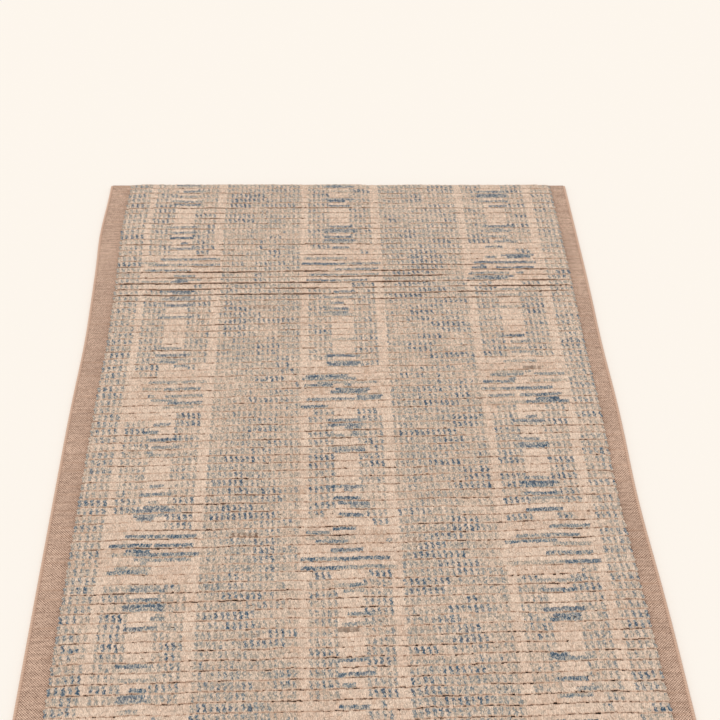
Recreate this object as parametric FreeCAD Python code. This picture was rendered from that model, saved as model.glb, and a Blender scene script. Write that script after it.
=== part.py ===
import FreeCAD, Part
import os

# Hand-knotted wool runner rug, lying flat with its pile up.
# Millimetres.  Origin: middle of the underside.  +X to the right across the rug,
# +Y along it towards its far end, +Z up out of the pile.

# ---- whole rug ----
rug_width = 762.0          # edge cord to edge cord
rug_length = 2438.0        # along the left side, end fold to end fold
far_end_skew = 24.0        # the right side ends this much short of the left side
fan_length = 480.0         # the far rows turn little by little over this length

# ---- layers ----
ground_thick = 3.0         # warps, wefts and the backs of the knots
pile_top = 11.0            # crest of a pile ridge
groove_floor = 8.2         # bottom of the gap between two ridges

# ---- side bands and edge cords ----
left_side_width = 36.0     # edge cord and flat band together
right_side_width = 29.0
band_thick = 3.2
cord_width = 5.0
cord_height = 4.6

# ---- turned-under ends ----
fold_width = 4.0           # the rolled fold that shows past the last pile row
fold_height = 5.4
tail_length = 34.0         # the flap turned under, from the fold
tail_thick = 1.4

# ---- hem stitches ----
stitch_gap = 3.0           # the slot at the flap's raw edge that the stitches cross
stitch_width = 1.2
stitch_low = 0.2           # clear of the floor
stitch_high = 1.2
stitch_pitch = 18.0

# ---- pile rows ----
ridge_count = 184          # each ridge is two rows of knots
far_ridges = 15            # ridges past the last whole pattern repeat
repeat_ridges = 20         # one pattern repeat
repeat_count = 8
# a ridge's outline: share of the pitch, share of the height from groove to crest
ridge_outline = [(0.00, 0.0), (0.14, 0.62), (0.36, 1.0), (0.64, 1.0), (0.86, 0.62)]

flat_enough = 1e-3         # six times the volume of four corners that count as one plane

# ---- worked out ----
half_width = rug_width / 2
far_v = rug_length / 2
near_v = -rug_length / 2
field_left = -half_width + left_side_width
field_right = half_width - right_side_width
pile_far = far_v - fold_width
pile_near = near_v + fold_width
ridge_pitch = (pile_far - pile_near) / ridge_count


def row_y(x, v):
    """y of the row that starts at v on the left side: the far rows slope down to the right."""
    share = min(max((v - far_v + fan_length) / fan_length, 0.0), 1.0)
    eased = share * share * (3.0 - 2.0 * share)
    return v - eased * far_end_skew * (x + half_width) / rug_width


def side_face(first, second, third, fourth):
    """Face with these corners: flat where they allow it, and ruled where the rows fan."""
    out_of_plane = (second - first).cross(third - first).dot(fourth - first)
    if abs(out_of_plane) < flat_enough:
        return Part.Face(Part.makePolygon([first, second, third, fourth, first]))
    return Part.makeRuledSurface(Part.makeLine(first, second), Part.makeLine(fourth, third))


def woven_bar(left_x, right_x, outline):
    """Solid between two sides of the rug whose outline, a list of (v, z), follows the rows."""
    left, right = [
        [FreeCAD.Vector(x, row_y(x, v), z) for v, z in outline] for x in (left_x, right_x)
    ]
    faces = [Part.Face(Part.makePolygon(points + points[:1])) for points in (left, right)]
    for here in range(len(outline)):
        after = (here + 1) % len(outline)
        faces.append(side_face(left[here], left[after], right[after], right[here]))
    shell = Part.makeShell(faces)
    shell.sewShape()
    solid = Part.makeSolid(shell)
    if solid.Volume < 0:
        solid.reverse()
    return solid


def ground_weave():
    """The foundation cloth under the pile, thinned over each turned-under flap."""
    inner = fold_width + tail_length + stitch_gap
    outline = [
        (pile_near, tail_thick), (near_v + inner, tail_thick), (near_v + inner, 0.0),
        (far_v - inner, 0.0), (far_v - inner, tail_thick), (pile_far, tail_thick),
        (pile_far, ground_thick), (pile_near, ground_thick),
    ]
    return woven_bar(field_left, field_right, outline)


def end_web(side):
    """Flat-woven end strip: a fold that closes the end and a flap that lies underneath."""
    end = side * rug_length / 2
    inward = -side
    outline = [
        (end, 0.0), (end + inward * (fold_width + tail_length), 0.0),
        (end + inward * (fold_width + tail_length), tail_thick),
        (end + inward * fold_width, tail_thick), (end + inward * fold_width, fold_height),
        (end, fold_height),
    ]
    return woven_bar(field_left, field_right, outline)


def hem_stitches(side):
    """Stitches that hold the flap's raw edge to the ground weave."""
    flap_edge = side * (rug_length / 2 - fold_width - tail_length)
    ground_edge = flap_edge - side * stitch_gap
    stitches = []
    count = int((field_right - field_left) / stitch_pitch)
    first = (field_left + field_right) / 2 - (count - 1) * stitch_pitch / 2
    for index in range(count):
        middle = first + index * stitch_pitch
        outline = [
            (flap_edge, stitch_low), (ground_edge, stitch_low),
            (ground_edge, stitch_high), (flap_edge, stitch_high),
        ]
        stitches.append(woven_bar(middle - stitch_width / 2, middle + stitch_width / 2, outline))
    return Part.makeCompound(stitches)


def selvedge_band(inner_x, outer_x):
    """Flat-woven band between the pile and an edge cord."""
    outline = [(near_v, 0.0), (far_v, 0.0), (far_v, band_thick), (near_v, band_thick)]
    return woven_bar(min(inner_x, outer_x), max(inner_x, outer_x), outline)


def edge_cord(side):
    """Rolled edge: flat where it is sewn to the band, round outside."""
    outer = side * half_width
    flat = outer - side * cord_width
    shoulder = outer - side * cord_height / 2
    far_y = row_y(outer, far_v)
    low = FreeCAD.Vector(flat, near_v, 0.0)
    low_turn = FreeCAD.Vector(shoulder, near_v, 0.0)
    outermost = FreeCAD.Vector(outer, near_v, cord_height / 2)
    high_turn = FreeCAD.Vector(shoulder, near_v, cord_height)
    high = FreeCAD.Vector(flat, near_v, cord_height)
    edges = [
        Part.makeLine(low, low_turn),
        Part.Arc(low_turn, outermost, high_turn).toShape(),
        Part.makeLine(high_turn, high),
        Part.makeLine(high, low),
    ]
    return Part.Face(Part.Wire(edges)).extrude(FreeCAD.Vector(0.0, far_y - near_v, 0.0))


def pile_block(first_ridge, count):
    """A run of pile ridges, counted from the far end, on one another's shoulders."""
    far_edge = pile_far - first_ridge * ridge_pitch
    near_edge = far_edge - count * ridge_pitch
    outline = [(near_edge, ground_thick), (far_edge, ground_thick)]
    for index in range(count):
        start = far_edge - index * ridge_pitch
        for along, height in ridge_outline:
            z = groove_floor + height * (pile_top - groove_floor)
            outline.append((start - along * ridge_pitch, z))
    outline.append((near_edge, groove_floor))
    return woven_bar(field_left, field_right, outline)


def pile_blocks():
    """The knotted pile: a part repeat at each end and the whole repeats between them."""
    blocks = {"pile_far_end": pile_block(0, far_ridges)}
    for index in range(repeat_count):
        first = far_ridges + index * repeat_ridges
        blocks["pile_repeat_%d" % (index + 1)] = pile_block(first, repeat_ridges)
    first = far_ridges + repeat_count * repeat_ridges
    blocks["pile_near_end"] = pile_block(first, ridge_count - first)
    return blocks


nodes = {
    "ground_weave": ground_weave(),
    "selvedge_band_left": selvedge_band(-half_width + cord_width, field_left),
    "selvedge_band_right": selvedge_band(field_right, half_width - cord_width),
    "edge_cord_left": edge_cord(-1),
    "edge_cord_right": edge_cord(1),
    "end_web_far": end_web(1),
    "end_web_near": end_web(-1),
    "hem_stitches_far": hem_stitches(1),
    "hem_stitches_near": hem_stitches(-1),
}
nodes.update(pile_blocks())

os.makedirs("parts", exist_ok=True)
for name, shape in nodes.items():
    print(name, "valid", shape.isValid(), "solids", len(shape.Solids), "cm3", round(shape.Volume / 1000, 1))
    shape.exportStep("parts/%s.step" % name)
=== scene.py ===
import math

import bpy
import numpy as np
from mathutils import Euler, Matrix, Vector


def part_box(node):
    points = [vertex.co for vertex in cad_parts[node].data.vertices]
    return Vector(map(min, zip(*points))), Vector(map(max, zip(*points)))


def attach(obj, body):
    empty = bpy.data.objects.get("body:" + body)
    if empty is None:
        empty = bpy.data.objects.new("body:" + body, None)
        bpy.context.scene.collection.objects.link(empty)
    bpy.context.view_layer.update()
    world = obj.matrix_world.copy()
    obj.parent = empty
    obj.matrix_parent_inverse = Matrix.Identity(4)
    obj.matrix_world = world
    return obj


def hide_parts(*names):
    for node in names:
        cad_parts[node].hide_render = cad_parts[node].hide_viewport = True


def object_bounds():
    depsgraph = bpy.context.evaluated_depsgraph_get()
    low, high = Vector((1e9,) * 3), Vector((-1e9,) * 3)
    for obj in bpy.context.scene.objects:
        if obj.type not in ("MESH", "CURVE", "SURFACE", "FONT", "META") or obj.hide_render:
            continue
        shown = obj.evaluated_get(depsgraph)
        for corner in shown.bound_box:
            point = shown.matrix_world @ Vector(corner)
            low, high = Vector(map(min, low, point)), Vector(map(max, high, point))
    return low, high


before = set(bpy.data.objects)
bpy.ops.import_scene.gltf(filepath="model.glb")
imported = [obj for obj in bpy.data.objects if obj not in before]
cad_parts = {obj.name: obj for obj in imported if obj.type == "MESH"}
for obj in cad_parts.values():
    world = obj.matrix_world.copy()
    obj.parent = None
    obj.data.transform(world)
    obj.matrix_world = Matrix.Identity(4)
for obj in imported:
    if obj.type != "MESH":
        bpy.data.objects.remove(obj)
cad_low, cad_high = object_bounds()

# A hand-knotted runner.  Metres.  Rows of knots are counted from the far end and
# columns of knots from the left.

SEED = 20

# ---- the cloth's plan, from the frame ----
WIDTH = cad_high.x - cad_low.x
FAR_V = cad_high.y                                  # far end on the left side
NEAR_V = cad_low.y
FAR_END_SKEW = FAR_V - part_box("edge_cord_right")[1].y
FAN_LENGTH = 0.480
FIELD_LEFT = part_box("pile_repeat_4")[0].x
FIELD_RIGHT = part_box("pile_repeat_4")[1].x
GROUND_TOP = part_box("ground_weave")[1].z
PILE_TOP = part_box("pile_repeat_4")[1].z
PILE_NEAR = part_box("pile_near_end")[0].y
PILE_FAR = FAR_V + NEAR_V - PILE_NEAR

# ---- knots ----
RIDGES = 184
ROWS = 2 * RIDGES                                   # two rows of knots make a ridge
FAR_RIDGES = 15
REPEAT_RIDGES = 20
REPEATS = 8
RIDGE_PITCH = (PILE_FAR - PILE_NEAR) / RIDGES
ROW_PITCH = RIDGE_PITCH / 2

# ---- the field's panels: kind, knots across, and each knot's width in millimetres ----
PANELS = (("margin", 9, 4.00), ("square", 34, 3.71), ("plain", 34, 3.60), ("square", 34, 3.71),
          ("plain", 34, 3.73), ("square", 34, 3.71), ("margin", 9, 3.72))
RING_LEFT = (3, 12)                                 # a square's dotted rings and core, in knots from its left
CORE = (12, 21)
RING_RIGHT = (21, 30)
KNOTS_ACROSS = sum(knots for kind, knots, wide in PANELS)
WIDTHS = np.repeat([wide for kind, knots, wide in PANELS], [knots for kind, knots, wide in PANELS])
EDGES = FIELD_LEFT + (FIELD_RIGHT - FIELD_LEFT) * np.concatenate([[0.0], np.cumsum(WIDTHS)]) / WIDTHS.sum()
COLUMN_X = (EDGES[:-1] + EDGES[1:]) / 2
KNOT_WIDTHS = np.diff(EDGES)

# ---- the design, as rules: each square repeats every REPEAT_RIDGES, counted in steps from its heading ----
HEADING_STEPS = (19, 0, 1, 2, 3)                    # long bars above and below each square
RUNG_STEPS = (5, 6, 7, 8, 9, 13, 14, 15, 16, 17)    # short bars across the core, with an open middle between
RING_STEPS = range(4, 19)
FIRST_FOLD = 19                                     # ridges at which the cloth was folded for storage
FOLD_EVERY = 52
LEAD_CHANCE = 0.80                                  # of a bar or a rung in a ridge's near row
HEADING_BACK_CHANCE = 0.26                          # and in its far row
RUNG_BACK_CHANCE = 0.30
RING_CHANCE = 0.26
HEADING_LENGTH = 14                                 # typical lengths, in knots
RUNG_LENGTH = 11
RING_LENGTH = 8
RUST_LENGTH = 9
OPEN_LENGTH = 60
HEADING_DYE = 0.63                                  # typical depths of dye, 0 to 1
RUNG_DYE = 0.66
RING_DYE = 0.72
RUST_DYE = 0.60
BETWEEN_DYE = 0.14                                  # share of a dot's dye on the sand knot beside it
RUST_CHANCE = 0.07
OPEN_CHANCE = 0.35

# ---- yarns ----
BAND_PITCHES = (0.0032, 0.0032)                     # warp and weft
CORD_PITCH = 0.0034
STITCH_PITCH = 0.018
STITCH_INSET = 0.0006
FLAP_THICK = 0.0014

# ---- how far each side strays outward: amount, distance from the far end, spread ----
LEFT_WAVES = ((0.0030, 0.37, 0.10), (-0.0039, 0.125, 0.07), (0.0025, 1.30, 0.20), (-0.0020, 1.95, 0.15))
RIGHT_WAVES = ((0.0022, 0.40, 0.10), (0.0045, 0.68, 0.12), (-0.0015, 1.20, 0.15), (0.0030, 1.75, 0.20))


def eased(share):
    share = np.clip(share, 0.0, 1.0)
    return share * share * (3.0 - 2.0 * share)


def row_y(x, v):
    """y of the row that starts at v on the left side: the far rows slope down to the right."""
    turn = eased((v - FAR_V + FAN_LENGTH) / FAN_LENGTH)
    return v - turn * FAR_END_SKEW * (x - cad_low.x) / WIDTH


def hump(at, middle, spread):
    return np.exp(-((at - middle) / spread) ** 2)


def drift(x, v):
    """How far the cloth strays sideways at v: the hand-woven sides are never quite straight."""
    from_far = FAR_V - v
    left = sum(amount * hump(from_far, at, spread) for amount, at, spread in LEFT_WAVES)
    right = sum(amount * hump(from_far, at, spread) for amount, at, spread in RIGHT_WAVES)
    middle = WIDTH / 2
    return left * np.clip(-x / middle, 0.0, 1.0) - right * np.clip(x / middle, 0.0, 1.0)


# ---------------------------------------------------------------- node trees


class Value:
    """A socket that Python's operators work on.  Each operation adds its Math node."""

    def __init__(self, tree, socket):
        self.tree = tree
        self.socket = socket

    def out(self, name):
        return Value(self.tree, self.socket.node.outputs[name])

    def math(self, operation, *values):
        return add(self.tree, "ShaderNodeMath", {"operation": operation}, dict(enumerate(values)))

    def __add__(self, other):
        return self.math("ADD", self, other)

    def __radd__(self, other):
        return self.math("ADD", other, self)

    def __sub__(self, other):
        return self.math("SUBTRACT", self, other)

    def __rsub__(self, other):
        return self.math("SUBTRACT", other, self)

    def __mul__(self, other):
        return self.math("MULTIPLY", self, other)

    def __rmul__(self, other):
        return self.math("MULTIPLY", other, self)

    def __truediv__(self, other):
        return self.math("DIVIDE", self, other)

    def __rtruediv__(self, other):
        return self.math("DIVIDE", other, self)

    def __pow__(self, other):
        return self.math("POWER", self, other)

    def sine(self):
        return self.math("SINE", self)

    def cosine(self):
        return self.math("COSINE", self)

    def floor(self):
        return self.math("FLOOR", self)

    def ramp(self, low, high, to_low=0.0, to_high=1.0):
        """This value from low to high, mapped to to_low to to_high and held there."""
        inputs = {"Value": self, "From Min": low, "From Max": high, "To Min": to_low, "To Max": to_high}
        return add(self.tree, "ShaderNodeMapRange", {"clamp": True}, inputs)


def add(tree, kind, settings=None, inputs=None, output=0):
    """The one way a node is made: its type, its settings, then the values or links of its sockets."""
    node = tree.nodes.new(kind)
    for name, setting in (settings or {}).items():
        if name == "stops":
            fill_ramp(node.color_ramp, setting)
        else:
            setattr(node, name, setting)
    for key, item in (inputs or {}).items():
        if isinstance(item, Value):
            tree.links.new(item.socket, node.inputs[key])
        else:
            node.inputs[key].default_value = item
    return Value(tree, node.outputs[output] if len(node.outputs) else None)


def fill_ramp(ramp, stops):
    while len(ramp.elements) < len(stops):
        ramp.elements.new(0.5)
    for element, (place, colour) in zip(ramp.elements, stops, strict=True):
        element.position = place
        element.color = colour


def linear(red, green, blue):
    """Linear colour with full alpha from an eight-bit screen colour."""
    def one(level):
        share = level / 255
        return share / 12.92 if share <= 0.04045 else ((share + 0.055) / 1.055) ** 2.4
    return (one(red), one(green), one(blue), 1.0)


def mix(factor, first, second, blend="MIX"):
    """Colour mix.  factor may be a number."""
    tree = next(item.tree for item in (factor, first, second) if isinstance(item, Value))
    return add(tree, "ShaderNodeMix", {"data_type": "RGBA", "blend_type": blend},
               {0: factor, 6: first, 7: second}, output=2)


def new_material(name, roughness, sheen):
    material = bpy.data.materials.new(name)
    material.use_nodes = True
    tree = material.node_tree
    shader = tree.nodes["Principled BSDF"]
    shader.inputs["Roughness"].default_value = roughness
    shader.inputs["Sheen Weight"].default_value = sheen
    shader.inputs["Sheen Roughness"].default_value = 0.6
    shader.inputs["Specular IOR Level"].default_value = 0.12
    return material, tree, shader


def feed(tree, shader, colour, height=None, strength=0.4, depth=0.0006):
    """Colour to the shader, and height through a Bump node where there is one."""
    tree.links.new(colour.socket, shader.inputs["Base Color"])
    if height is not None:
        bump = add(tree, "ShaderNodeBump", {}, {"Strength": strength, "Distance": depth, "Height": height})
        tree.links.new(bump.socket, shader.inputs["Normal"])


def place(tree, stretch=(1.0, 1.0, 1.0)):
    """Object coordinates, stretched."""
    where = add(tree, "ShaderNodeTexCoord", output=3)
    return add(tree, "ShaderNodeMapping", {}, {"Vector": where, "Scale": stretch})


def noise(tree, where, scale, detail=2.0, rough=0.5):
    inputs = {"Vector": where, "Scale": scale, "Detail": detail, "Roughness": rough}
    return add(tree, "ShaderNodeTexNoise", {}, inputs)


def attribute(tree, name):
    return add(tree, "ShaderNodeAttribute", {"attribute_name": name}, output=2)


# ---------------------------------------------------------------- finishes

SAND = linear(222, 195, 174)
ROSE_SAND = linear(204, 173, 149)
PALE = linear(232, 208, 187)
GREY = linear(184, 170, 153)
GREY_BLUE = linear(150, 153, 152)
DENIM = linear(100, 121, 136)
INDIGO = linear(42, 76, 102)
RUST = linear(100, 74, 58)
# Brown of the roots, also painted as shade: in the grooves, low on each tuft and along the band's ridge
# lines.
ROOT_BROWN_AND_SHADE = linear(184, 142, 114)


def pile_wool():
    """Sand to indigo wool, with painted shade low on each tuft and along its grooves. Each knot has its own
    ink, rust and warmth.
    """
    material, tree, shader = new_material("knotted wool", 0.95, 0.25)
    fine = noise(tree, place(tree, (1.0, 0.6, 1.0)), 620.0, 2.0, 0.6)
    fibres = noise(tree, place(tree, (1.0, 0.5, 1.0)), 1500.0, 2.0, 0.7)
    clumps = noise(tree, place(tree), 230.0, 2.0)
    spot = add(tree, "ShaderNodeAttribute", {"attribute_name": "spot"}, output=1)
    spot = add(tree, "ShaderNodeSeparateXYZ", {}, {0: spot})
    rim = spot.out("Y") * attribute(tree, "outward") + (fine - 0.5) * 0.4
    strands = ((spot.out("X") * 1.9 - spot.out("Y") * 0.5) * (2 * math.pi)).cosine()
    stops = ((0.0, SAND), (0.2, GREY), (0.48, GREY_BLUE), (0.74, DENIM), (1.0, INDIGO))
    ink = attribute(tree, "ink") * fine.ramp(0.35, 0.65, 1.75, 0.25) * rim.ramp(0.15, 0.7, 1.0, 0.1)
    ink = ink * strands.ramp(-1.0, 1.0, 1.2, 0.75)
    dyed = add(tree, "ShaderNodeValToRGB", {"stops": stops}, {"Fac": ink})
    warmth = attribute(tree, "warmth") + (clumps - 0.5) * 0.6
    sand_share = attribute(tree, "ink").ramp(0.0, 0.3, 1.0, 0.2)
    dyed = mix(warmth.ramp(0.5, 1.0) * sand_share, dyed, ROSE_SAND)
    dyed = mix(warmth.ramp(0.5, 0.0) * sand_share, dyed, PALE)
    dyed = mix(attribute(tree, "rust") * fine.ramp(0.3, 0.6, 0.5, 1.0), dyed, RUST)
    speck = fine.ramp(0.35, 0.65, 0.70, 1.29) * fibres.ramp(0.3, 0.7, 0.76, 1.24)
    speck = speck * strands.ramp(-0.5, 1.0, 1.1, 0.74)
    speck = add(tree, "ShaderNodeCombineColor", {}, {0: speck, 1: speck, 2: speck})
    uneven = attribute(tree, "ink").ramp(0.04, 0.3, 0.74, 1.0)
    uneven = uneven * attribute(tree, "ink").ramp(0.4, 0.9, 1.0, 0.7)
    dyed = mix(uneven, dyed, speck, "MULTIPLY")
    # Painted shade: a patchy brown line along each tuft's edge that faces the groove.
    dyed = mix(rim.ramp(0.4, 0.74, 0.0, 0.8) * clumps.ramp(0.35, 0.62, 0.2, 0.75), dyed, ROOT_BROWN_AND_SHADE)
    # Painted shade: each tuft turns brown from just under its crown down to its root.
    dyed = mix(spot.out("Z").ramp(0.84, 0.99, 0.8, 0.0), dyed, ROOT_BROWN_AND_SHADE)
    feed(tree, shader, dyed, fibres - strands * 0.3, 0.5, 0.0005)
    return material


def weave_finish(name, dark, light, warp, weft, origin_x):
    """Plain weave: every float its own tone, dark crossings, and brown lines of painted shade along the
    pile's ridge lines.
    """
    material, tree, shader = new_material(name, 0.92, 0.15)
    where = add(tree, "ShaderNodeSeparateXYZ", {}, {0: place(tree)})
    across = (where.out("X") - origin_x) / warp * 2.0
    along = where.out("Y") / weft * 2.0
    over = (across * math.pi).sine() * (along * math.pi).sine()
    cell = add(tree, "ShaderNodeCombineXYZ", {}, {0: across.floor(), 1: along.floor()})
    own = add(tree, "ShaderNodeTexWhiteNoise", {}, {"Vector": cell})
    uneven = noise(tree, place(tree, (0.12, 1.0, 1.0)), 300.0, 3.0, 0.6)
    blotch = noise(tree, place(tree), 9.0, 3.0)
    fibres = noise(tree, place(tree), 900.0, 2.0)
    colour = mix(over * 0.46 + own * 0.30 + fibres * 0.36 + 0.18, dark, light)
    colour = mix(uneven.ramp(0.5, 0.8, 0.0, 0.45), colour, dark)
    colour = mix(uneven.ramp(0.5, 0.2, 0.0, 0.35), colour, light)
    colour = mix(blotch.ramp(0.35, 0.7, 0.0, 0.2), colour, dark)
    # Painted shade: brown along the ridge lines, where the band is also sunk a little.
    colour = mix(attribute(tree, "line"), colour, ROOT_BROWN_AND_SHADE)
    feed(tree, shader, colour, over * 0.7 + fibres * 0.5 + own * 0.6, 0.5, 0.0005)
    return material


def cord_yarn(pitch):
    """Yarn wound slantwise over the edge cord."""
    material, tree, shader = new_material("edge yarn", 0.9, 0.2)
    where = add(tree, "ShaderNodeSeparateXYZ", {}, {0: place(tree)})
    twist = ((where.out("Y") + where.out("Z") * 0.8) * (2 * math.pi / pitch)).sine()
    fibres = noise(tree, place(tree), 1600.0, 2.0)
    patchy = noise(tree, place(tree), 14.0, 2.0)
    colour = mix(twist.ramp(-1.0, 0.6), linear(200, 164, 141), linear(216, 182, 159))
    colour = mix(patchy.ramp(0.35, 0.7, 0.0, 0.3), colour, linear(196, 158, 135))
    colour = mix(fibres.ramp(0.45, 0.8, 0.0, 0.25), colour, linear(226, 196, 174))
    feed(tree, shader, colour, twist * 0.6 + fibres * 0.5, 0.4, 0.0004)
    return material


def knot_backs():
    """Underside: the knots' loops, in the colours of the pile, between cotton wefts."""
    material, tree, shader = new_material("knot backs", 0.93, 0.15)
    stops = ((0.0, linear(204, 178, 152)), (0.3, GREY), (0.6, GREY_BLUE), (1.0, DENIM))
    dyed = add(tree, "ShaderNodeValToRGB", {"stops": stops}, {"Fac": attribute(tree, "ink")})
    column = (attribute(tree, "across") * (2 * math.pi)).cosine()
    weft = (attribute(tree, "along") * (2 * math.pi)).cosine()
    fibres = noise(tree, place(tree), 1500.0, 2.0)
    dyed = mix(weft.ramp(0.35, 1.0, 0.0, 0.6), dyed, linear(215, 200, 176))
    dyed = mix(column.ramp(0.4, 1.0, 0.0, 0.4), dyed, linear(120, 96, 74))
    dyed = mix(fibres.ramp(0.45, 0.8, 0.0, 0.25), dyed, linear(226, 208, 184))
    feed(tree, shader, dyed, fibres * 0.5 - column * 0.5 - weft * 0.5, 0.5, 0.0006)
    return material


def linen_thread():
    material, tree, shader = new_material("linen thread", 0.7, 0.1)
    twist = (add(tree, "ShaderNodeSeparateXYZ", {}, {0: place(tree)}).out("Y") * 9000.0).sine()
    colour = mix(twist.ramp(-1.0, 1.0), linear(172, 150, 120), linear(220, 202, 172))
    feed(tree, shader, colour, twist, 0.3, 0.0002)
    return material


# ---------------------------------------------------------------- the design


def smooth_noise(rng, count, step):
    """Slow noise from -1 to 1, one value for each of count places, turning about every step."""
    knots = rng.uniform(-1.0, 1.0, int(count / step) + 3)
    at = np.arange(count) / step
    first = at.astype(int)
    blend = eased(at - first)
    return knots[first] * (1 - blend) + knots[first + 1] * blend


def patches(rng, rows, columns, row_step, column_step):
    """Slow two-way noise from -1 to 1."""
    down = [smooth_noise(rng, rows, row_step) for _ in range(int(columns / column_step) + 3)]
    at = np.arange(columns) / column_step
    first = at.astype(int)
    blend = eased(at - first)
    lanes = np.array(down)
    return lanes[first].T * (1 - blend) + lanes[first + 1].T * blend


def dotted_columns():
    """For each column: 0 plain, 1 a dotted knot, 2 the sand knot between dots; and its panel's kind."""
    dots, kinds = [], []
    for kind, knots, _ in PANELS:
        for knot in range(knots):
            start = 0
            plain = False
            if kind == "square":
                plain = not (RING_LEFT[0] <= knot < RING_LEFT[1] or RING_RIGHT[0] <= knot < RING_RIGHT[1])
                start = RING_LEFT[0] if knot < RING_LEFT[1] else RING_RIGHT[0]
            dots.append(0 if plain else 1 + (knot - start) % 2)
            kinds.append(kind)
    return np.array(dots), np.array(kinds)


def run_of(rng, first, last, typical):
    """A run of about typical knots, somewhere from column first up to column last."""
    length = int(np.clip(rng.normal(typical, typical / 3), 2, last - first))
    start = int(rng.integers(first, last - length + 1))
    return np.arange(start, start + length)


def ground_tone(rng, dots, kinds):
    """The faint dots of every ring, margin and plain panel, under the bars and the darker dots."""
    shape = (ROWS, KNOTS_ACROSS)
    cloud = patches(rng, ROWS, KNOTS_ACROSS, 5.0, 9.0)
    fine = patches(rng, ROWS, KNOTS_ACROSS, 1.6, 5.0)
    ridge = np.arange(ROWS) // 2
    step = (ridge - FAR_RIDGES) % REPEAT_RIDGES
    ringed = ((step >= 5) & (step <= 16))[:, None]
    square, margin = kinds == "square", kinds == "margin"
    ink = np.full(shape, 0.02)
    ink = np.where(kinds == "plain", 0.31 + 0.13 * cloud + 0.11 * fine, ink)
    ink = np.where(margin, 0.33 + 0.08 * cloud + 0.15 * fine, ink)
    ink = np.where(square & (dots > 0) & ringed, 0.32 + 0.08 * cloud + 0.15 * fine, ink)
    between = (dots == 2) & (kinds != "plain")
    ink = np.where(between, ink * 0.25, ink)
    ink = np.where((dots == 2) & (kinds == "plain"), ink * 0.35, ink)
    return ink


def dye(rng, count, middle):
    """How deep one run of knots is dyed, uneven from knot to knot."""
    depth = np.clip(rng.normal(middle, 0.19), 0.3, 1.0)
    uneven = 1.0 + 0.16 * rng.normal(0.0, 1.0, count) + 0.14 * smooth_noise(rng, count, 4.0)
    return 0.98 * depth ** 1.2 * uneven


def knot_line(ink, row, columns, tone):
    """A line of knots in one row."""
    ink[row, columns] = np.maximum(tone, ink[row, columns] * 0.5)


def knot_dots(ink, dots, row, columns, tone):
    """Every second knot.  A dot spills a little into the other row of its ridge."""
    tone = tone * np.where(dots[columns] == 2, BETWEEN_DYE, 1.0)
    knot_line(ink, row, columns, tone)
    other = row ^ 1
    ink[other, columns] = np.maximum(ink[other, columns], tone * 0.7)


def work_square(ink, dots, row, left, rng):
    """One row of a square: its heading bars, the rungs of its core and the dots of its rings."""
    step = (row // 2 - FAR_RIDGES) % REPEAT_RIDGES
    wide = RING_RIGHT[1] + RING_LEFT[0]
    lead = row % 2                                   # most bars lie in the ridge's near row
    if step in HEADING_STEPS:
        for first, last in ((left, left + CORE[1]), (left + CORE[0], left + wide)):
            if rng.random() < (LEAD_CHANCE if lead else HEADING_BACK_CHANCE):
                columns = run_of(rng, first, last, HEADING_LENGTH)
                knot_line(ink, row, columns, dye(rng, len(columns), HEADING_DYE))
    if step in RUNG_STEPS and rng.random() < (LEAD_CHANCE if lead else RUNG_BACK_CHANCE):
        columns = run_of(rng, left + CORE[0] - 2, left + CORE[1] + 2, RUNG_LENGTH)
        knot_line(ink, row, columns, dye(rng, len(columns), RUNG_DYE))
    for ring in (RING_LEFT, RING_RIGHT):
        if step in RING_STEPS and rng.random() < RING_CHANCE:
            columns = run_of(rng, left + ring[0], left + ring[1], RING_LENGTH)
            knot_dots(ink, dots, row, columns, dye(rng, len(columns), RING_DYE))


def work_plain(ink, dots, first, last, chance, typical, middle, rng):
    """Dotted clusters down a panel.  A cluster often carries on into the next row."""
    columns = run_of(rng, first, last, typical)
    for row in range(ROWS):
        if rng.random() < 0.55:
            columns = run_of(rng, first, last, typical)
        if rng.random() < chance:
            knot_dots(ink, dots, row, columns, dye(rng, len(columns), middle))


def work_rust(ink, rust, dots, rng):
    """Here and there a run of rust wool."""
    for ridge in np.nonzero(rng.random(RIDGES) < RUST_CHANCE)[0]:
        columns = run_of(rng, 0, KNOTS_ACROSS, RUST_LENGTH)
        row = 2 * ridge + int(rng.integers(2))
        tone = dye(rng, len(columns), RUST_DYE)
        rust[row, columns] = tone * np.where(dots[columns] == 2, BETWEEN_DYE, 1.0)
        ink[row, columns] = 0.1


def work_in(ink, rust, dots, rng):
    """Works the whole design in, panel by panel."""
    left = 0
    for kind, knots, _ in PANELS:
        if kind == "square":
            for row in range(ROWS):
                work_square(ink, dots, row, left, rng)
        elif kind == "plain":
            work_plain(ink, dots, left, left + knots, chance=0.78, typical=11, middle=0.74, rng=rng)
        else:
            work_plain(ink, dots, left, left + knots, chance=0.42, typical=8, middle=0.66, rng=rng)
        left += knots
    work_rust(ink, rust, dots, rng)


def knot_colours():
    """Ink, rust and warmth for each knot, by the design's rules."""
    rng = np.random.default_rng(SEED)
    dots, kinds = dotted_columns()
    ink = ground_tone(rng, dots, kinds)
    rust = np.zeros_like(ink)
    work_in(ink, rust, dots, rng)
    shape = ink.shape
    ink = ink * (1.0 + rng.normal(0.0, 0.12, shape)) + rng.normal(0.0, 0.035, shape)
    streaks = patches(rng, ROWS, KNOTS_ACROSS, 1.3, 26.0)
    warmth = 0.45 + 0.25 * streaks + 0.12 * patches(rng, ROWS, KNOTS_ACROSS, 14.0, 20.0)
    warmth = warmth - np.where((kinds == "square") & (dots == 0), 0.14, 0.0)
    warmth = warmth + rng.normal(0.0, 0.15, shape)
    return [np.clip(layer, 0.0, 1.0) for layer in (ink, rust, warmth)]


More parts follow.
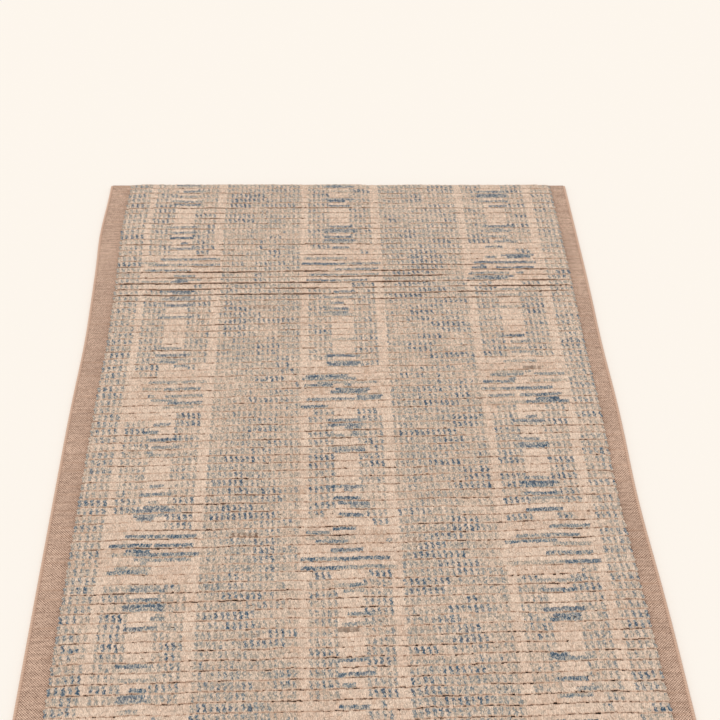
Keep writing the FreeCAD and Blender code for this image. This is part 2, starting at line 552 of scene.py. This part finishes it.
def grooves():
    """How far the pile stands open at the groove above each ridge, 0 to 1."""
    rng = np.random.default_rng(SEED + 1)
    shape = (RIDGES + 1, KNOTS_ACROSS)
    opened = 0.34 + rng.uniform(-0.12, 0.12, shape[0])[:, None] + 0.2 * patches(rng, *shape, 1.2, 9.0)
    opened[:FAR_RIDGES] += 0.12
    ridges = np.arange(shape[0])
    wander = patches(rng, *shape, 0.9, 16.0)
    for ridge in np.nonzero(rng.random(shape[0]) < OPEN_CHANCE)[0]:
        columns = run_of(rng, 0, KNOTS_ACROSS, OPEN_LENGTH)
        depth = rng.uniform(0.36, 0.50)
        opened[ridge, columns] = depth * (1.0 + 0.22 * smooth_noise(rng, len(columns), 6.0))
    for at in range(FIRST_FOLD, RIDGES, FOLD_EVERY):
        sharp = 0.92 if at == FIRST_FOLD else 0.46
        fold = np.minimum(1.35 * sharp * hump(ridges, at, 4.2), sharp)
        opened = np.maximum(opened, fold[:, None] * (0.85 + 0.34 * wander))
    kernel = np.array([1, 2, 3, 3, 3, 2, 1]) / 15.0
    opened = np.array([np.convolve(np.pad(line, 3, mode="edge"), kernel, mode="valid") for line in opened])
    return np.clip(opened, 0.0, 1.35)


# ---------------------------------------------------------------- meshes


def mesh_object(name, points, faces, smooth=True):
    mesh = bpy.data.meshes.new(name)
    mesh.from_pydata([tuple(point) for point in points], [], faces)
    mesh.polygons.foreach_set("use_smooth", [smooth] * len(mesh.polygons))
    mesh.update()
    made = bpy.data.objects.new(name, mesh)
    bpy.context.scene.collection.objects.link(made)
    return made


def set_attribute(mesh, name, kind, domain, values):
    layer = mesh.attributes.new(name, kind, domain)
    key = "vector" if kind == "FLOAT_VECTOR" else "value"
    layer.data.foreach_set(key, np.ascontiguousarray(values, np.float32).ravel())


def shell(name, xs, vs, heights, floor_z, stray):
    """Closed slab whose top is a grid over xs and vs, following the rows, above a flat underside."""
    across, along = len(xs), len(vs)
    grid_x, grid_v = np.meshgrid(xs, vs, indexing="ij")
    grid_y = row_y(grid_x, grid_v)
    grid_x = grid_x + stray(grid_x, grid_v)
    top = np.stack([grid_x, grid_y, heights], -1).reshape(-1, 3)
    rim = ([i * along for i in range(across)] + [(across - 1) * along + j for j in range(1, along)]
           + [i * along + along - 1 for i in range(across - 2, -1, -1)] + list(range(along - 2, 0, -1)))
    low = top[rim].copy()
    low[:, 2] = floor_z
    i, j = np.meshgrid(np.arange(across - 1), np.arange(along - 1), indexing="ij")
    corner = (i * along + j).ravel()
    faces = np.stack([corner, corner + along, corner + along + 1, corner + 1], -1).tolist()
    base, count = len(top), len(rim)
    for here in range(count):
        after = (here + 1) % count
        faces.append([rim[here], base + here, base + after, rim[after]])
    faces.append([base + here for here in range(count - 1, -1, -1)])
    return mesh_object(name, np.concatenate([top, low]), faces)


def plan_uv(made):
    """Flat UV map, seen from above; what faces down shrinks to a thin strip along its lower edge."""
    mesh = made.data
    layer = mesh.uv_layers.new(name="OFBake")
    points = np.zeros(len(mesh.vertices) * 3, np.float32)
    mesh.vertices.foreach_get("co", points)
    points = points.reshape(-1, 3)
    corners = np.zeros(len(mesh.loops), np.int32)
    mesh.loops.foreach_get("vertex_index", corners)
    low, high = points.min(0), points.max(0)
    flat = (points[:, :2] - low[:2]) / (high[:2] - low[:2])
    flat = 0.004 + flat * (0.992, 0.952) + (0.0, 0.04)
    uv = flat[corners]
    totals = np.zeros(len(mesh.polygons), np.int32)
    mesh.polygons.foreach_get("loop_total", totals)
    normals = np.zeros(len(mesh.polygons) * 3, np.float32)
    mesh.polygons.foreach_get("normal", normals)
    away = np.repeat(normals.reshape(-1, 3)[:, 2] < -0.7, totals)
    uv[away] = (uv[away] - 0.04) * (1.0, 0.03) + (0.02, 0.003)
    layer.data.foreach_set("uv", uv.astype(np.float32).ravel())


def tree_with(name, inputs):
    """Empty geometry tree that takes and gives a geometry, with named inputs."""
    tree = bpy.data.node_groups.new(name, "GeometryNodeTree")
    tree.interface.new_socket("Geometry", in_out="INPUT", socket_type="NodeSocketGeometry")
    tree.interface.new_socket("Geometry", in_out="OUTPUT", socket_type="NodeSocketGeometry")
    for label, kind in inputs:
        tree.interface.new_socket(label, in_out="INPUT", socket_type="NodeSocket" + kind)
    source = add(tree, "NodeGroupInput")
    return tree, source


def close_tree(tree, geometry):
    """Every tree ends in real geometry with its finish on it."""
    source = next(node for node in tree.nodes if node.type == "GROUP_INPUT")
    real = add(tree, "GeometryNodeRealizeInstances", {}, {0: geometry})
    finish = Value(tree, source.outputs["Finish"])
    done = add(tree, "GeometryNodeSetMaterial", {}, {"Geometry": real, "Material": finish})
    add(tree, "NodeGroupOutput", {}, {0: done})


def grow(made, tree, values):
    """Runs a tree on a piece and leaves a plain mesh."""
    modifier = made.modifiers.new(tree.name, "NODES")
    modifier.node_group = tree
    for item in tree.interface.items_tree:
        if item.in_out == "INPUT" and item.name in values:
            modifier[item.identifier] = values[item.name]
    depsgraph = bpy.context.evaluated_depsgraph_get()
    mesh = bpy.data.meshes.new_from_object(made.evaluated_get(depsgraph), depsgraph=depsgraph)
    made.modifiers.remove(modifier)
    old = made.data
    made.data = mesh
    bpy.data.meshes.remove(old)
    return made


def named(tree, name, kind):
    return add(tree, "GeometryNodeInputNamedAttribute", {"data_type": kind}, {"Name": name})


def tuft_tree():
    """A six-sided tuft on every point: narrow at the root, widest near the top, with a flat crown just above
    its shoulder.
    """
    tree, source = tree_with("knots", [("Crown", "Float"), ("Shoulder", "Float"), ("Finish", "Material")])
    cone = add(tree, "GeometryNodeMeshCone", {"fill_type": "NGON"}, {
        "Vertices": 6, "Side Segments": 2, "Radius Top": source.out("Crown"),
        "Radius Bottom": 0.0, "Depth": 1.0})
    where = add(tree, "ShaderNodeSeparateXYZ", {}, {0: add(tree, "GeometryNodeInputPosition")})
    half_up = where.out("Z").ramp(0.1, 0.4) * where.out("Z").ramp(0.9, 0.6)
    widen = half_up * (2.0 / source.out("Crown") - 1.0) + 1.0
    spread = add(tree, "ShaderNodeCombineXYZ", {}, {
        0: where.out("X") * widen, 1: where.out("Y") * widen,
        2: where.out("Z") + half_up * (source.out("Shoulder") - 0.5)})
    tuft = add(tree, "GeometryNodeSetPosition", {}, {"Geometry": cone, "Position": spread})
    tuft = add(tree, "GeometryNodeStoreNamedAttribute", {"data_type": "FLOAT_VECTOR"},
               {"Geometry": tuft, "Name": "spot", "Value": add(tree, "GeometryNodeInputPosition")})
    upward = add(tree, "ShaderNodeSeparateXYZ", {}, {0: add(tree, "GeometryNodeInputNormal")}).out("Z")
    crown = upward.math("GREATER_THAN", upward, 0.9)
    tuft = add(tree, "GeometryNodeSetShadeSmooth", {}, {"Geometry": tuft, "Shade Smooth": True})
    tuft = add(tree, "GeometryNodeSetShadeSmooth", {}, {
        "Geometry": tuft, "Selection": crown, "Shade Smooth": False})
    stood = add(tree, "GeometryNodeInstanceOnPoints", {}, {
        "Points": source.out("Geometry"), "Instance": tuft,
        "Rotation": named(tree, "turn", "FLOAT_VECTOR"), "Scale": named(tree, "size", "FLOAT_VECTOR")})
    for label in ("turn", "size"):
        stood = add(tree, "GeometryNodeRemoveAttribute", {}, {"Geometry": stood, "Name": label})
    close_tree(tree, stood)
    return tree


def knot_points(name, first_ridge, ridges, colours, opened, sway, rng):
    """Points of one block of pile, with each knot's lean, size and colour."""
    rows = np.arange(2 * first_ridge, 2 * (first_ridge + ridges))
    row, column = np.meshgrid(rows, np.arange(KNOTS_ACROSS), indexing="ij")
    shape = row.shape
    near_row = row % 2
    gap = opened[row // 2 + near_row, column]
    inward = np.where(near_row == 1, 1.0, -1.0)
    wave = sway[row // 2, column]
    x = COLUMN_X[column] + inward * 0.0005 + rng.normal(0.0, 0.0002, shape)
    v = PILE_FAR - (row + 0.5) * ROW_PITCH + wave + rng.normal(0.0, 0.0003, shape)
    v = v + inward * (0.05 + 0.03 * gap ** 2) * ROW_PITCH
    tall = (PILE_TOP - GROUND_TOP) * (0.95 + 0.02 * np.clip(rng.normal(0.0, 0.6, shape), -1.8, 0.9))
    from_end = np.minimum(row, ROWS - 1 - row)
    from_side = np.minimum(column, KNOTS_ACROSS - 1 - column)
    tall = tall * (1.0 - 0.30 * np.exp(-from_end / 1.2)) * (1.0 - 0.16 * np.exp(-from_side / 0.8))
    y = row_y(x, v)
    x = x + drift(x, v)
    lean_back = 0.03 + inward * (0.03 - 0.14 * gap ** 2) + rng.normal(0.0, 0.04, shape)
    lean_side = 0.09 + rng.normal(0.0, 0.035, shape)
    points = np.stack([x, y, np.full(shape, GROUND_TOP)], -1).reshape(-1, 3)
    mesh = bpy.data.meshes.new(name)
    mesh.from_pydata([tuple(point) for point in points], [], [])
    turn = np.stack([lean_back, lean_side, rng.uniform(-0.12, 0.12, shape)], -1)
    set_attribute(mesh, "turn", "FLOAT_VECTOR", "POINT", turn)
    wide = KNOT_WIDTHS[column] * 0.95 * (1.0 + rng.normal(0.0, 0.04, shape))
    deep = ROW_PITCH * (0.69 - 0.13 * gap) * (1.0 + rng.normal(0.0, 0.04, shape))
    set_attribute(mesh, "size", "FLOAT_VECTOR", "POINT", np.stack([wide, deep, tall], -1))
    for label, values in zip(("ink", "rust", "warmth"), colours, strict=True):
        set_attribute(mesh, label, "FLOAT", "POINT", values[rows])
    set_attribute(mesh, "outward", "FLOAT", "POINT", -inward)
    made = bpy.data.objects.new(name, mesh)
    bpy.context.scene.collection.objects.link(made)
    return made


def lay_pile(colours, finish):
    """The knotted pile, one piece for each block of the frame."""
    tree = tuft_tree()
    opened = grooves()
    rng = np.random.default_rng(SEED + 2)
    sway = 0.0012 * patches(rng, RIDGES, KNOTS_ACROSS, 4.0, 9.0)
    sway = sway + 0.00022 * patches(rng, RIDGES, KNOTS_ACROSS, 0.7, 6.0)
    blocks = [("pile_far_end", 0, FAR_RIDGES)]
    for n in range(REPEATS):
        blocks.append(("pile_repeat_%d" % (n + 1), FAR_RIDGES + n * REPEAT_RIDGES, REPEAT_RIDGES))
    last = FAR_RIDGES + REPEATS * REPEAT_RIDGES
    blocks.append(("pile_near_end", last, RIDGES - last))
    made = []
    for order, (node, first, ridges) in enumerate(blocks):
        rng = np.random.default_rng(SEED + 100 + order)
        piece = knot_points(node + "_knots", first, ridges, colours, opened, sway, rng)
        grow(piece, tree, {"Crown": 0.88, "Shoulder": 0.89, "Finish": finish})
        plan_uv(piece)
        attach(piece, "root")
        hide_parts(node)
        made.append(piece)
    return made


# ---------------------------------------------------------------- ground, bands, cords, ends


def lay_ground(colours, finish):
    """The foundation cloth: ribbed knot backs underneath and a plain face under the pile."""
    xs = EDGES
    vs = np.linspace(PILE_NEAR, PILE_FAR, ROWS + 1)
    ribs = np.where(np.arange(ROWS + 1) % 2 == 0, 0.0007, 0.0)
    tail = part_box("end_web_near")[1].y - NEAR_V
    under = np.where((vs < NEAR_V + tail) | (vs > FAR_V - tail), 0.0015, 0.0)
    heights = np.broadcast_to((ribs + under)[None, :], (len(xs), len(vs)))
    made = shell("ground_cloth", xs, vs, -heights, -GROUND_TOP, drift)
    # built upside down: turned over in place, so its grid is the underside
    mesh = made.data
    points = np.zeros(len(mesh.vertices) * 3, np.float32)
    mesh.vertices.foreach_get("co", points)
    points = points.reshape(-1, 3)
    points[:, 2] *= -1.0
    mesh.vertices.foreach_set("co", points.ravel())
    mesh.flip_normals()
    ink = np.zeros(len(mesh.polygons))
    count = KNOTS_ACROSS * ROWS
    ink[:count] = colours[0][::-1].T.ravel()
    set_attribute(mesh, "ink", "FLOAT", "FACE", ink)
    column, row = np.meshgrid(np.arange(len(xs)), np.arange(len(vs)), indexing="ij")
    for label, counted in (("across", column), ("along", row)):
        rim = np.zeros(len(mesh.vertices) - counted.size)
        set_attribute(mesh, label, "FLOAT", "POINT", np.concatenate([counted.ravel(), rim]))
    mesh.materials.append(finish)
    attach(made, "root")
    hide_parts("ground_weave")
    return made


def weave_tree():
    """Raises a sheet's upper face into a plain weave: each float goes over one thread and under the next."""
    tree, source = tree_with("plain weave", [
        ("Warp pitch", "Float"), ("Weft pitch", "Float"), ("Left", "Float"), ("Relief", "Float"),
        ("Finish", "Material")])
    where = add(tree, "ShaderNodeSeparateXYZ", {}, {0: add(tree, "GeometryNodeInputPosition")})
    across = (where.out("X") - source.out("Left")) * math.pi / source.out("Warp pitch")
    along = where.out("Y") * math.pi / source.out("Weft pitch")
    over = across.sine() * along.sine()
    patchy = noise(tree, add(tree, "GeometryNodeInputPosition"), 700.0, 1.0)
    rise = (over * (patchy + 0.4) - named(tree, "line", "FLOAT") * 1.5) * source.out("Relief")
    lift = add(tree, "ShaderNodeCombineXYZ", {}, {2: rise * named(tree, "upper", "FLOAT")})
    raised = add(tree, "GeometryNodeSetPosition", {}, {"Geometry": source.out("Geometry"), "Offset": lift})
    close_tree(tree, raised)
    return tree


def lay_band(side, tree, finish, pitches):
    """Flat-woven band between the pile and an edge cord."""
    node = "selvedge_band_" + side
    low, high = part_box(node)
    warp, weft = pitches
    tuck = 0.0012                                   # the band runs on under the cord's shoulder
    ends = (low.x - tuck, high.x) if side == "left" else (low.x, high.x + tuck)
    xs = np.linspace(*ends, 2 * round((high.x - low.x) / warp) + 1)
    vs = np.linspace(NEAR_V, FAR_V, 2 * round((FAR_V - NEAR_V) / weft) + 1)
    grid = np.meshgrid(xs, vs, indexing="ij")
    relief = 0.00018
    heights = np.full(grid[0].shape, high.z - relief)
    made = shell(node + "_weave", xs, vs, heights, 0.0, drift)
    rng = np.random.default_rng(SEED + (7 if side == "left" else 8))
    # Lines along the ridge lines, stronger towards the pile: they sink the band a little and carry its
    # painted shade.
    from_far = (PILE_FAR - vs) / RIDGE_PITCH
    near_groove = np.exp(-((from_far - np.round(from_far)) / 0.09) ** 2)
    strength = np.clip(rng.normal(0.22, 0.22, RIDGES + 3), 0.0, 0.7)
    line = near_groove * strength[np.clip(np.round(from_far).astype(int), 0, RIDGES + 2)]
    toward_pile = (xs - xs[0]) / (xs[-1] - xs[0])
    if side == "right":
        toward_pile = toward_pile[::-1]
    on_top = line[None, :] * (0.35 + 0.65 * toward_pile[:, None])
    rim_count = len(made.data.vertices) - on_top.size
    rim = np.zeros(rim_count)
    set_attribute(made.data, "line", "FLOAT", "POINT", np.concatenate([on_top.ravel(), rim]))
    inside = np.ones_like(on_top)
    inside[[0, -1], :] = 0.0
    inside[:, [0, -1]] = 0.0
    set_attribute(made.data, "upper", "FLOAT", "POINT", np.concatenate([inside.ravel(), rim]))
    grow(made, tree, {
        "Warp pitch": warp, "Weft pitch": weft, "Left": xs[0], "Relief": relief, "Finish": finish})
    made.data.attributes.remove(made.data.attributes["upper"])
    plan_uv(made)
    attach(made, "root")
    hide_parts(node)
    return made


def cord_tree():
    """Yarn wound over a cord: a tube along the path with slanting ribs."""
    tree, source = tree_with("wound yarn", [
        ("Radius", "Float"), ("Pitch", "Float"), ("Relief", "Float"), ("Steps", "Int"),
        ("Finish", "Material")])
    path = add(tree, "GeometryNodeMeshToCurve", {}, {0: source.out("Geometry")})
    path = add(tree, "GeometryNodeResampleCurve", {}, {"Curve": path, "Count": source.out("Steps")})
    ring = add(tree, "GeometryNodeCurvePrimitiveCircle", {}, {
        "Resolution": 8, "Radius": source.out("Radius")})
    tube = add(tree, "GeometryNodeCurveToMesh", {}, {"Curve": path, "Profile Curve": ring, "Fill Caps": True})
    where = add(tree, "ShaderNodeSeparateXYZ", {}, {0: add(tree, "GeometryNodeInputPosition")})
    rib = ((where.out("Y") + where.out("Z") * 0.8) * (2 * math.pi) / source.out("Pitch")).sine()
    normal = add(tree, "GeometryNodeInputNormal")
    push = add(tree, "ShaderNodeVectorMath", {"operation": "SCALE"}, {
        0: normal, "Scale": rib * source.out("Relief")})
    tube = add(tree, "GeometryNodeSetPosition", {}, {"Geometry": tube, "Offset": push})
    close_tree(tree, tube)
    return tree


def lay_cord(side, tree, finish):
    """Rolled edge along a band."""
    node = "edge_cord_" + side
    low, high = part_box(node)
    radius = (high.z - low.z) / 2
    relief = 0.00022
    middle = (low.x + high.x) / 2
    vs = np.linspace(low.y + radius, high.y - radius, 260)
    points = np.stack([middle + drift(middle, vs), vs, np.full(len(vs), radius)], -1)
    mesh = bpy.data.meshes.new(node + "_yarn")
    mesh.from_pydata([tuple(p) for p in points], [(i, i + 1) for i in range(len(vs) - 1)], [])
    made = bpy.data.objects.new(node + "_yarn", mesh)
    bpy.context.scene.collection.objects.link(made)
    steps = int((high.y - low.y) / CORD_PITCH * 2)
    grow(made, tree, {
        "Radius": radius - relief, "Pitch": CORD_PITCH, "Relief": relief, "Steps": steps, "Finish": finish})
    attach(made, "root")
    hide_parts(node)
    return made


def lay_end_web(end, finish):
    """Flat-woven end: a rounded fold past the last knots and the flap turned under."""
    node = "end_web_" + end
    low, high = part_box(node)
    side = 1.0 if end == "far" else -1.0
    fold = FAR_V - PILE_FAR
    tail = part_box("end_web_near")[1].y - NEAR_V
    edge = side * FAR_V
    outline = [(edge - side * tail, 0.0)]
    outline += [(edge - side * fold * (1 - math.sin(turn)), high.z * (1 - math.cos(turn)) / 2)
                for turn in np.linspace(0.15, math.pi - 0.15, 9)]
    outline += [(edge - side * fold, high.z), (edge - side * fold, FLAP_THICK)]
    outline.append((edge - side * tail, FLAP_THICK))
    xs = np.linspace(FIELD_LEFT, FIELD_RIGHT, 2 * KNOTS_ACROSS + 1)
    count = len(outline)
    points = []
    for i, x in enumerate(xs):
        pinch = 0.0003 if i % 2 else 0.0
        for n, (v, z) in enumerate(outline):
            on_fold = 1 <= n <= 9
            points.append((x + float(drift(x, v)), row_y(x, v) - side * (pinch if on_fold else 0.0), z))
    faces = []
    for i in range(len(xs) - 1):
        for n in range(count):
            after = (n + 1) % count
            faces.append([i * count + n, i * count + after, (i + 1) * count + after, (i + 1) * count + n])
    faces.append(list(range(count - 1, -1, -1)))
    faces.append([(len(xs) - 1) * count + n for n in range(count)])
    made = mesh_object(node + "_fold", points, faces)
    if side < 0:
        made.data.flip_normals()
    set_attribute(made.data, "line", "FLOAT", "POINT", np.zeros(len(points)))
    made.data.materials.append(finish)
    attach(made, "root")
    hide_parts(node)
    return made


def stitch_tree():
    """A short slanting thread on every point, sunk into the cloth at both ends."""
    tree, source = tree_with("hem thread", [
        ("Reach", "Float"), ("Slant", "Float"), ("Sink", "Float"), ("Thread", "Float"),
        ("Finish", "Material")])
    ends = []
    for way in (-1.0, 1.0):
        inputs = {0: source.out("Slant") * way, 1: source.out("Reach") * way, 2: source.out("Sink")}
        ends.append(add(tree, "ShaderNodeCombineXYZ", {}, inputs))
    arc = add(tree, "GeometryNodeCurveQuadraticBezier", {}, {
        "Resolution": 6, "Start": ends[0], "Middle": (0.0, 0.0, -0.0003), "End": ends[1]})
    ring = add(tree, "GeometryNodeCurvePrimitiveCircle", {}, {
        "Resolution": 6, "Radius": source.out("Thread")})
    thread = add(tree, "GeometryNodeCurveToMesh", {}, {
        "Curve": arc, "Profile Curve": ring, "Fill Caps": True})
    sewn = add(tree, "GeometryNodeInstanceOnPoints", {}, {
        "Points": source.out("Geometry"), "Instance": thread})
    close_tree(tree, sewn)
    return tree


def lay_stitches(end, tree, finish):
    """Hem stitches that hold the turned-under flap to the ground cloth."""
    node = "hem_stitches_" + end
    near_low, near_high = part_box("hem_stitches_near")
    inset = (near_low.y + near_high.y) / 2 - NEAR_V
    v = FAR_V - inset if end == "far" else NEAR_V + inset
    first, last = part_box(node)[0].x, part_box(node)[1].x
    xs = np.linspace(first + STITCH_INSET, last - STITCH_INSET, round((last - first) / STITCH_PITCH) + 1)
    height = (near_low.z + near_high.z) / 2
    points = np.stack([xs + drift(xs, v), row_y(xs, v), np.full(len(xs), height)], -1)
    made = mesh_object(node + "_thread", points, [])
    grow(made, tree, {"Reach": 0.0024, "Slant": 0.0009, "Sink": 0.0003, "Thread": 0.00042, "Finish": finish})
    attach(made, "root")
    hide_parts(node)
    return made


# ---------------------------------------------------------------- stage

CAMERA_HEIGHT = 1.612 * WIDTH
CAMERA_BACK = 1.305 * CAMERA_HEIGHT                 # from the far end
CAMERA_ASIDE = -0.0174 * WIDTH
CAMERA_DOWN = math.radians(46.0)
CAMERA_TURN = math.radians(1.8)
LENS = 59.15


def set_camera():
    camera = bpy.data.cameras.new("camera")
    camera.lens = LENS
    camera.sensor_width = 36.0
    camera.clip_start = 0.05
    holder = bpy.data.objects.new("camera", camera)
    holder.location = (CAMERA_ASIDE, FAR_V - CAMERA_BACK, CAMERA_HEIGHT)
    holder.rotation_euler = Euler((math.pi / 2 - CAMERA_DOWN, 0.0, -CAMERA_TURN))
    bpy.context.scene.collection.objects.link(holder)
    bpy.context.scene.camera = holder


def set_stage():
    """Plain pale floor, an even studio sky and one large soft lamp from the far left."""
    half = 30.0
    floor = mesh_object("floor", [(-half, -half, 0), (half, -half, 0), (half, half, 0), (-half, half, 0)],
                        [[0, 1, 2, 3]], smooth=False)
    material, tree, shader = new_material("floor paint", 1.0, 0.0)
    shader.inputs["Base Color"].default_value = (0.96, 0.912, 0.852, 1.0)
    shader.inputs["Specular IOR Level"].default_value = 0.0
    floor.data.materials.append(material)
    world = bpy.data.worlds.new("studio")
    world.use_nodes = True
    world.node_tree.nodes["Background"].inputs["Color"].default_value = (1.0, 0.985, 0.965, 1.0)
    world.node_tree.nodes["Background"].inputs["Strength"].default_value = 0.80
    bpy.context.scene.world = world
    sun = bpy.data.lights.new("soft lamp", "SUN")
    sun.energy = 0.95
    sun.angle = math.radians(25.0)
    sun.color = (1.0, 0.985, 0.96)
    lamp = bpy.data.objects.new("soft lamp", sun)
    lamp.rotation_euler = Euler((math.radians(-38.0), math.radians(-18.0), 0.0))
    bpy.context.scene.collection.objects.link(lamp)
    bpy.context.scene.view_settings.view_transform = "Standard"


# ---------------------------------------------------------------- making

set_camera()
set_stage()
colours = knot_colours()
wool = pile_wool()
band = weave_finish("flat weave", linear(96, 64, 47), linear(252, 216, 191), *BAND_PITCHES, cad_low.x)
yarn = cord_yarn(CORD_PITCH)
pile = lay_pile(colours, wool)
ground = lay_ground(colours, knot_backs())
weave = weave_tree()
bands = [lay_band(side, weave, band, BAND_PITCHES) for side in ("left", "right")]
winding = cord_tree()
cords = [lay_cord(side, winding, yarn) for side in ("left", "right")]
webs = [lay_end_web(end, band) for end in ("far", "near")]
sewing = stitch_tree()
thread = linen_thread()
hems = [lay_stitches(end, sewing, thread) for end in ("far", "near")]
